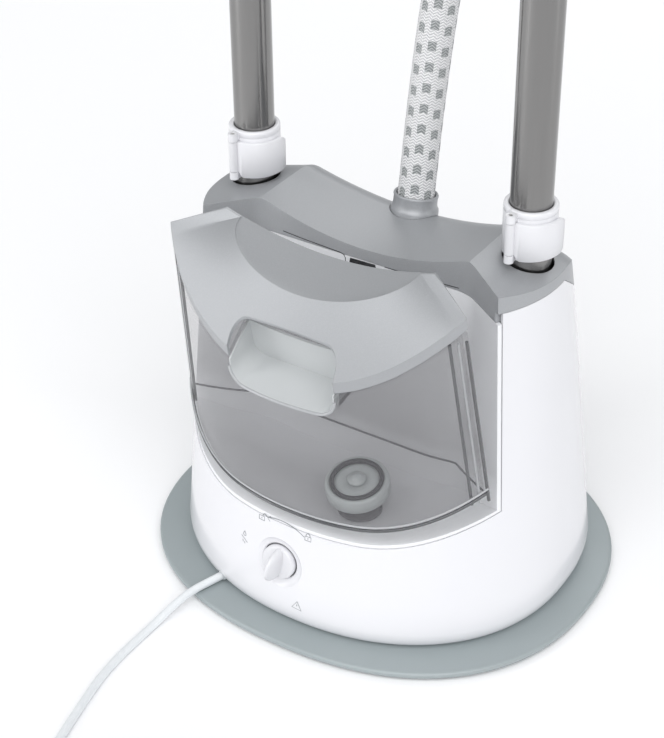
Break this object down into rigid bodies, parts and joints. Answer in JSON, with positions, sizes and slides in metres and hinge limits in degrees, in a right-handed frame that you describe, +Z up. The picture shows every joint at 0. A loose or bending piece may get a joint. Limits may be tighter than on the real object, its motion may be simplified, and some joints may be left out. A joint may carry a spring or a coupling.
{
  "type": "garment steamer",
  "caption": "Upright garment steamer: oval base, tilting water tank, clamped twin-pole mast, docked steam handset, cloth-covered hose and mains cord.",
  "frame": {"origin": "on the floor under the middle of the base plate, at the underside of the anti-slip pad", "axes": "+Z up along the mast poles, -Y towards the tank and the drain knob, +X to the right of someone facing the tank"},
  "size_m": [0.404, 0.5447, 1.625],
  "materials": {
    "white": "moulded ABS, glossy",
    "silver": "silver painted ABS, satin",
    "grey_plate": "moulded, satin grey-green",
    "pad_rubber": "moulded rubber",
    "bay_liner": "moulded, glossy light grey",
    "smoky_clear": "smoky transparent SAN",
    "pole_steel": "drawn tube, satin grey",
    "bright_steel": "polished",
    "cast_aluminium": "die cast",
    "brass_fitting": "turned",
    "black_plastic": "moulded, matt",
    "silicone": "extruded, translucent white",
    "circuit_board": "solder masked laminate",
    "hose_cloth": "braided sleeve with grey dashes",
    "cord_pvc": "extruded and moulded white PVC"
  },
  "bodies": {
    "root": {"base_plate": "grey_plate", "anti_slip_pad": "pad_rubber", "housing": "white", "tank_bay": "bay_liner", "inlet_seat": "black_plastic", "top_cover": "silver", "boiler": "cast_aluminium", "heater_element": "bright_steel", "thermostat": "black_plastic", "water_pump": "black_plastic", "pump_inlet_pipe": "silicone", "boiler_feed_pipe": "silicone", "steam_pipe": "silicone", "control_board": "circuit_board", "drain_valve": "brass_fitting", "socket_tube_left": "pole_steel", "socket_tube_right": "pole_steel", "clamp_collar_left": "white", "clamp_collar_right": "white", "clamp_pin_left": "bright_steel", "clamp_pin_right": "bright_steel", "hose_collar": "silver", "steam_hose": "hose_cloth", "cord_gland": "cord_pvc", "mains_cord": "cord_pvc", "mains_cord_coil": "cord_pvc", "cord_tie": "black_plastic", "mains_plug": "cord_pvc", "plug_pin_left": "bright_steel", "plug_pin_right": "bright_steel"},
    "tank": {"tank_body": "smoky_clear", "tank_cap": "silver", "tank_valve_cap": "bay_liner"},
    "plunger": {"valve_plunger": "black_plastic"},
    "knob": {"drain_knob": "white"},
    "lever_left": {"clamp_lever_left": "white"},
    "lever_right": {"clamp_lever_right": "white"},
    "mast": {"lower_pole_left": "pole_steel", "lower_pole_right": "pole_steel", "upper_pole_left": "pole_steel", "upper_pole_right": "pole_steel", "pole_coupling_left": "white", "pole_coupling_right": "white", "mast_bridge": "white", "handset_dock": "silver", "hanger_hub": "white", "hanger_pin_left": "bright_steel", "hanger_pin_right": "bright_steel", "handset_body": "white", "handset_soleplate": "bright_steel", "hose_nut": "silver"},
    "hanger_left": {"hanger_arm_left": "white"},
    "hanger_right": {"hanger_arm_right": "white"},
    "trigger": {"steam_trigger": "silver"},
    "rocker": {"power_rocker": "black_plastic"}
  },
  "joints": [
    {"name": "tank_tilt", "type": "hinge", "parent": "root", "child": "tank", "pos_m": [0, -0.105, 0.092], "axis": [1, 0, 0], "range_deg": [-12, 18]},
    {"name": "valve_plunger_travel", "type": "slide", "parent": "tank", "child": "plunger", "axis": [0, -0.2079, 0.9781], "range_m": [0, 0.0025], "stiffness_N_per_m": 150},
    {"name": "drain_knob_turn", "type": "hinge", "parent": "root", "child": "knob", "pos_m": [-0.008, -0.1182, 0.053], "axis": [0, -0.9949, 0.1011], "range_deg": [0, 90]},
    {"name": "clamp_lever_left_open", "type": "hinge", "parent": "root", "child": "lever_left", "pos_m": [-0.103, -0.02, 0.278], "axis": [0, 0, 1], "range_deg": [-100, 0]},
    {"name": "clamp_lever_right_open", "type": "hinge", "parent": "root", "child": "lever_right", "pos_m": [0.097, -0.02, 0.278], "axis": [0, 0, 1], "range_deg": [-100, 0]},
    {"name": "mast_slide", "type": "slide", "parent": "root", "child": "mast", "axis": [0, 0, 1], "range_m": [-0.17, 0], "deforming": ["steam_hose"]},
    {"name": "hanger_arm_left_fold", "type": "hinge", "parent": "mast", "child": "hanger_left", "pos_m": [-0.02, 0.0225, 1.594], "axis": [0, 1, 0], "range_deg": [-80, 0]},
    {"name": "hanger_arm_right_fold", "type": "hinge", "parent": "mast", "child": "hanger_right", "pos_m": [0.02, 0.0225, 1.594], "axis": [0, 1, 0], "range_deg": [0, 80]},
    {"name": "steam_trigger_press", "type": "slide", "parent": "mast", "child": "trigger", "axis": [0, 1, 0], "range_m": [0, 0.003], "stiffness_N_per_m": 300},
    {"name": "power_rocker_tip", "type": "hinge", "parent": "root", "child": "rocker", "pos_m": [0, 0.112, 0.062], "axis": [1, 0, 0], "range_deg": [0, 14]}
  ]
}
